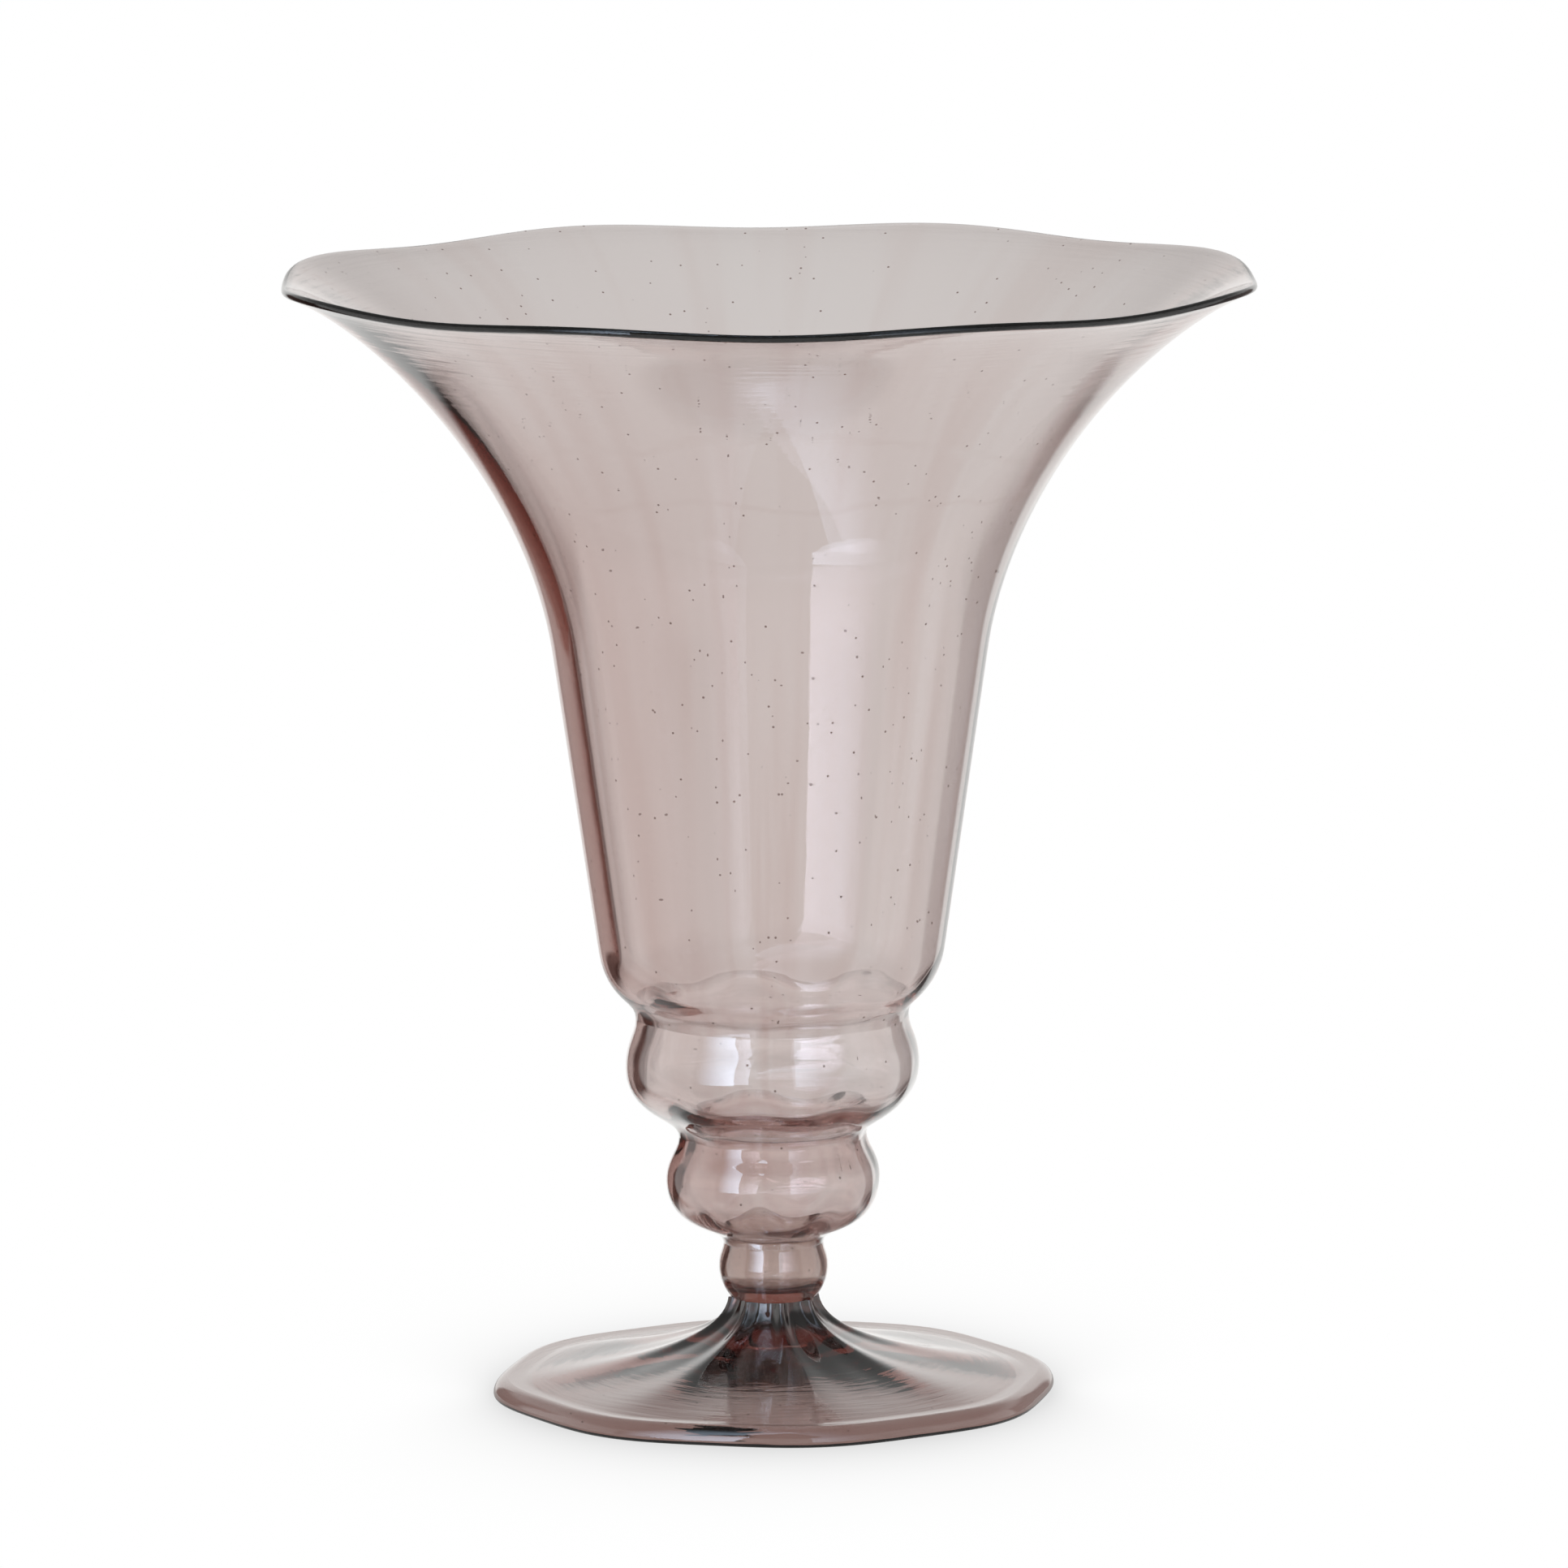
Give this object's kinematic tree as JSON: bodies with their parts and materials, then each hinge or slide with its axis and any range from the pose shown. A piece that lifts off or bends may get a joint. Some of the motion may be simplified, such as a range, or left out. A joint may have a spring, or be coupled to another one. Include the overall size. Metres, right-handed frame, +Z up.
{
  "type": "trumpet vase",
  "caption": "Hand-blown trumpet vase in pale amethyst glass, with a waved flared rim, stacked hollow bulbs, a knop and a ribbed spread foot.",
  "frame": {"origin": "On the table under the middle of the foot.", "axes": "+Z up along the vase, +X to the right as seen from the front, +Y to the back."},
  "size_m": [0.2566, 0.2566, 0.3002],
  "materials": {
    "bowl_glass": "clear fire-polished glass, pale amethyst",
    "bulb_glass": "clear fire-polished glass, pale amethyst",
    "stem_glass": "clear fire-polished glass, amethyst, darker where it is thick"
  },
  "bodies": {
    "root": {"trumpet_bowl": "bowl_glass", "upper_bulb": "bulb_glass", "lower_bulb": "bulb_glass", "stem_knop": "stem_glass", "foot": "stem_glass"}
  },
  "joints": []
}
